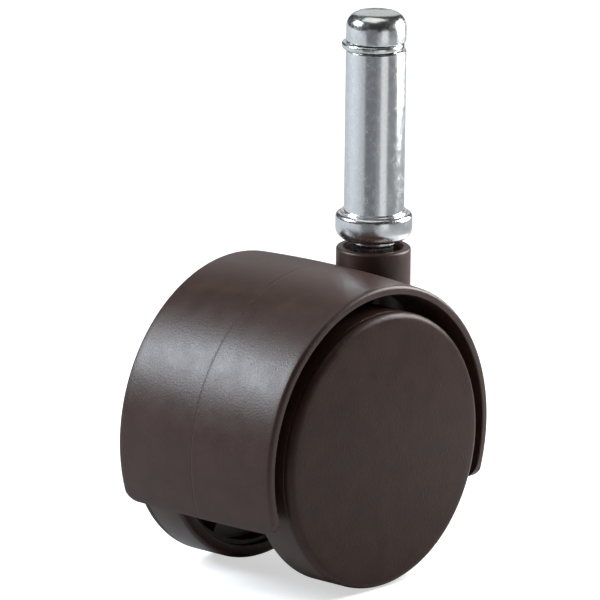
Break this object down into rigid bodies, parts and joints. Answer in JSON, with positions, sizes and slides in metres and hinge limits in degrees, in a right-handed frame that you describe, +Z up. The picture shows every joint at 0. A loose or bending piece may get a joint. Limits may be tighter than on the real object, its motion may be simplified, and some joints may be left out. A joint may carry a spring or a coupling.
{
  "type": "chair caster wheel",
  "caption": "Hooded twin-wheel swivel caster with closed wheel faces and a grip-ring stem with a rounded collar, in dark brown plastic and zinc-plated steel.",
  "frame": {"origin": "on the swivel axis, in the plane of the stem's shoulder, where the seat of a chair leg's socket rests", "axes": "+Z up along the stem, wheels trail towards -X, axle along Y with the left wheel at +Y"},
  "size_m": [0.0596, 0.04, 0.099],
  "materials": {
    "brown_plastic": "satin moulded, dark brown, fine grain",
    "wheel_plastic": "satin moulded nylon, dark brown",
    "cap_plastic": "satin moulded, dark brown",
    "zinc_plate": "bright zinc plate on turned steel",
    "ring_plate": "bright zinc plate on spring steel",
    "spring_steel": "oiled spring steel",
    "hardened_steel": "ground, hardened",
    "axle_steel": "drawn bright steel",
    "washer_nylon": "natural nylon"
  },
  "bodies": {
    "stem_body": {"stem": "zinc_plate", "stem_retaining_ring": "spring_steel"},
    "swivel_body": {"housing": "brown_plastic", "axle": "axle_steel", "axle_clip_left": "spring_steel", "axle_clip_right": "spring_steel", "axle_washer_left": "washer_nylon", "axle_washer_right": "washer_nylon", "stem_thrust_disc": "hardened_steel"},
    "left_wheel_body": {"wheel_left": "wheel_plastic", "wheel_cap_left": "cap_plastic"},
    "right_wheel_body": {"wheel_right": "wheel_plastic", "wheel_cap_right": "cap_plastic"},
    "ring_body": {"grip_ring": "ring_plate"}
  },
  "joints": [
    {"name": "swivel", "type": "hinge", "parent": "stem_body", "child": "swivel_body", "pos_m": [0, 0, 0], "axis": [0, 0, 1], "continuous": true},
    {"name": "left_wheel_spin", "type": "hinge", "parent": "swivel_body", "child": "left_wheel_body", "pos_m": [-0.018, 0, -0.0375], "axis": [0, 1, 0], "continuous": true},
    {"name": "right_wheel_spin", "type": "hinge", "parent": "swivel_body", "child": "right_wheel_body", "pos_m": [-0.018, 0, -0.0375], "axis": [0, 1, 0], "continuous": true},
    {"name": "grip_ring_float", "type": "slide", "parent": "stem_body", "child": "ring_body", "axis": [-0.6691, 0.7431, 0], "range_m": [-0.0011, 0]}
  ]
}
